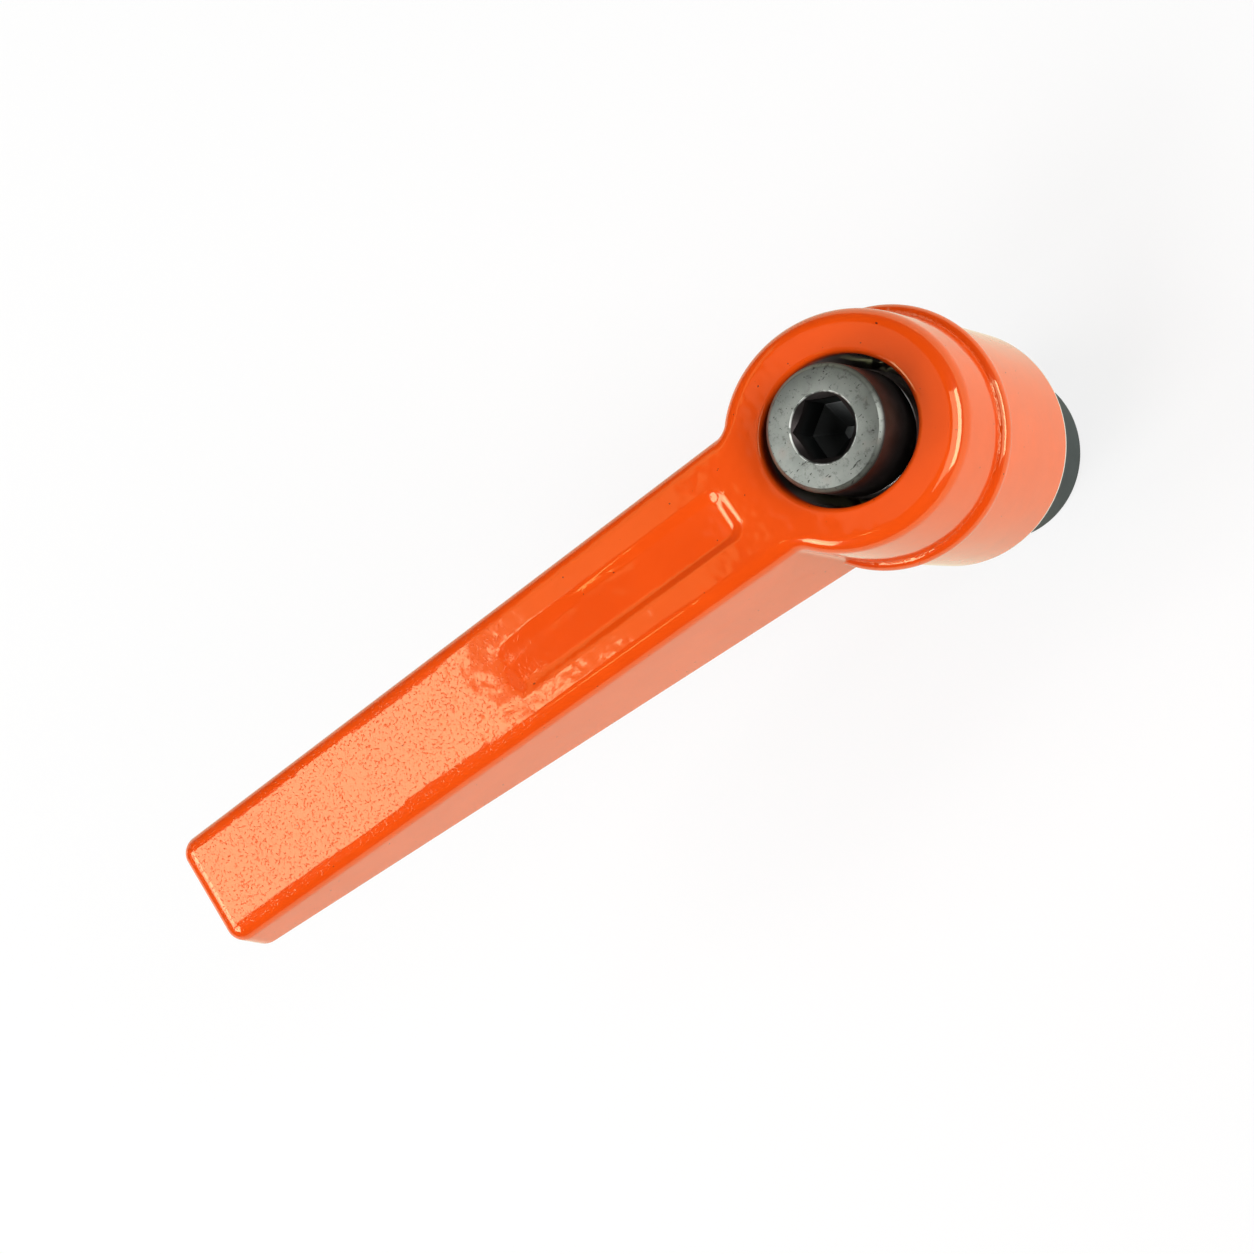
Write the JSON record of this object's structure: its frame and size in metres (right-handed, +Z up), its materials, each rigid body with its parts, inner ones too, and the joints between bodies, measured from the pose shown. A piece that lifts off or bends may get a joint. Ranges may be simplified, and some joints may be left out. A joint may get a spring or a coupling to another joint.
{
  "type": "adjustable clamping lever",
  "caption": "Adjustable clamping lever: sloping cast arm on a round hub, steel insert with internal thread below, socket screw on top; lift, turn and drop to index.",
  "frame": {"origin": "centre of the threaded insert's lower face, where the lever bears on the clamped part", "axes": "+Z up the hub axis, out of the screw's socket; +X along the arm, which rises towards its tip"},
  "size_m": [0.0954, 0.0276, 0.0632],
  "materials": {
    "handle_coat": "glossy orange powder coat on zinc casting",
    "insert_steel": "black oxide, satin",
    "screw_steel": "black oxide, worn to grey on the face",
    "spring_steel": "drawn spring wire, lightly oiled"
  },
  "bodies": {
    "insert": {"threaded_insert": "insert_steel", "retaining_screw": "screw_steel"},
    "spring": {"return_spring": "spring_steel"},
    "handle": {"handle": "handle_coat"}
  },
  "joints": [
    {"name": "index_turn", "type": "hinge", "parent": "insert", "child": "spring", "pos_m": [0, 0, 0], "axis": [0, 0, 1], "continuous": true},
    {"name": "lift", "type": "slide", "parent": "spring", "child": "handle", "axis": [0, 0, 1], "range_m": [0, 0.0062], "stiffness_N_per_m": 3400, "springref_m": -0.006, "deforming": ["return_spring"]}
  ]
}
